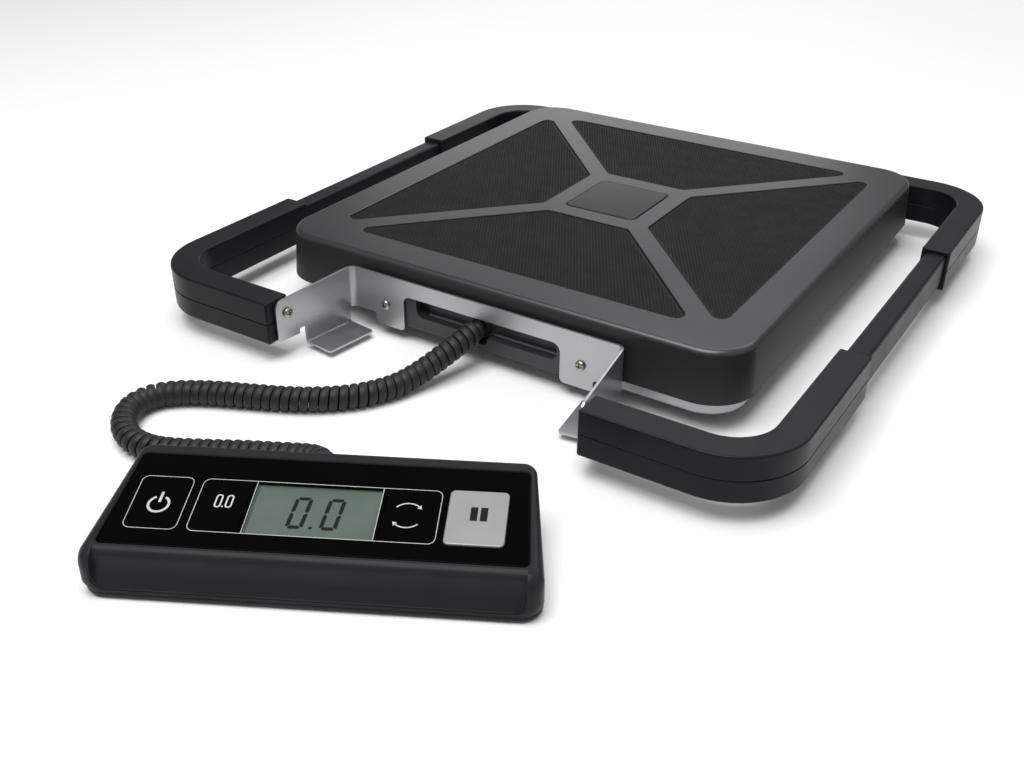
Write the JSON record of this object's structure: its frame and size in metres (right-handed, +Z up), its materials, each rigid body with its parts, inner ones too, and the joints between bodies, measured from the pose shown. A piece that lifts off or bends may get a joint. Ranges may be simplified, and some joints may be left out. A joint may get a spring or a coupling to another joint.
{
  "type": "platform shipping scale",
  "caption": "Low platform parcel scale in a carrying ring, with a remote display unit on a curly cord.",
  "frame": {"origin": "on the floor, under the middle of the box round the base and its display unit", "axes": "+X to the right, +Y from the display unit to the platform, +Z up"},
  "size_m": [0.4016, 0.5904, 0.0482],
  "materials": {
    "deck_metal": "satin metallic grey",
    "mat_rubber": "fine ribs",
    "badge_black": "satin black",
    "frame_steel": "zinc plated",
    "cell_aluminium": "machined",
    "tray_metal": "satin",
    "board_green": "circuit board",
    "bracket_metal": "satin silver",
    "zinc_yellow": "yellow zinc",
    "grip_plastic": "fine grain",
    "tube_metal": "satin black",
    "black_rubber": "matt",
    "cord_rubber": "matt",
    "housing_plastic": "satin, fine grain",
    "panel_black": "gloss",
    "key_silver": "silver paint",
    "lcd_green": "grey-green glass",
    "clear_window": "clear",
    "cell_wrap": "printed film",
    "socket_metal": "bright"
  },
  "bodies": {
    "root": {"base_tray": "tray_metal", "junction_board": "board_green", "cord_gland": "black_rubber", "display_bracket": "bracket_metal", "handle_tube": "tube_metal", "curly_cord": "cord_rubber", "load_cell_front_left": "cell_aluminium", "foot_front_left": "black_rubber", "grip_upper_front_left": "grip_plastic", "grip_lower_front_left": "grip_plastic", "load_cell_front_right": "cell_aluminium", "foot_front_right": "black_rubber", "grip_upper_front_right": "grip_plastic", "grip_lower_front_right": "grip_plastic", "load_cell_rear_left": "cell_aluminium", "foot_rear_left": "black_rubber", "grip_upper_rear_left": "grip_plastic", "grip_lower_rear_left": "grip_plastic", "load_cell_rear_right": "cell_aluminium", "foot_rear_right": "black_rubber", "grip_upper_rear_right": "grip_plastic", "grip_lower_rear_right": "grip_plastic", "rear_screw_left": "zinc_yellow", "web_screw_left": "zinc_yellow", "arm_screw_left": "zinc_yellow", "rear_screw_right": "zinc_yellow", "web_screw_right": "zinc_yellow", "arm_screw_right": "zinc_yellow"},
    "platform": {"platform_cover": "deck_metal", "platform_frame": "frame_steel", "badge_plate": "badge_black", "front_mat": "mat_rubber", "rear_mat": "mat_rubber", "left_mat": "mat_rubber", "right_mat": "mat_rubber"},
    "display_unit": {"upper_housing": "housing_plastic", "bottom_cover": "housing_plastic", "face_panel": "panel_black", "lcd_window": "clear_window", "lcd_module": "lcd_green", "display_board": "board_green", "strain_relief": "black_rubber", "usb_socket": "socket_metal", "battery_1": "cell_wrap", "battery_2": "cell_wrap", "battery_3": "cell_wrap", "unit_screw_front_left": "zinc_yellow", "unit_pad_front_left": "black_rubber", "unit_screw_front_right": "zinc_yellow", "unit_pad_front_right": "black_rubber", "unit_screw_rear_left": "zinc_yellow", "unit_pad_rear_left": "black_rubber", "unit_screw_rear_right": "zinc_yellow", "unit_pad_rear_right": "black_rubber"},
    "power_key_body": {"power_key": "panel_black"},
    "tare_key_body": {"tare_key": "panel_black"},
    "unit_key_body": {"unit_key": "panel_black"},
    "hold_key_body": {"hold_key": "key_silver"},
    "battery_door_body": {"battery_door": "housing_plastic"}
  },
  "joints": [
    {"name": "platform_press", "type": "slide", "parent": "root", "child": "platform", "axis": [0, 0, -1], "range_m": [0, 0.0005], "stiffness_N_per_m": 20000, "springref_m": -0.003},
    {"name": "display_move", "type": "slide", "parent": "root", "child": "display_unit", "axis": [0.4695, -0.8829, 0], "range_m": [0, 0.15]},
    {"name": "power_press", "type": "slide", "parent": "display_unit", "child": "power_key_body", "axis": [-0.0818, 0.1539, -0.9847], "range_m": [0, 0.0005], "stiffness_N_per_m": 200, "springref_m": -0.0012},
    {"name": "tare_press", "type": "slide", "parent": "display_unit", "child": "tare_key_body", "axis": [-0.0818, 0.1539, -0.9847], "range_m": [0, 0.0005], "stiffness_N_per_m": 200, "springref_m": -0.0012},
    {"name": "unit_press", "type": "slide", "parent": "display_unit", "child": "unit_key_body", "axis": [-0.0818, 0.1539, -0.9847], "range_m": [0, 0.0005], "stiffness_N_per_m": 200, "springref_m": -0.0012},
    {"name": "hold_press", "type": "slide", "parent": "display_unit", "child": "hold_key_body", "axis": [-0.0818, 0.1539, -0.9847], "range_m": [0, 0.0005], "stiffness_N_per_m": 200, "springref_m": -0.0012},
    {"name": "battery_door_off", "type": "slide", "parent": "display_unit", "child": "battery_door_body", "axis": [0, 0, -1], "range_m": [0, 0.012]}
  ]
}
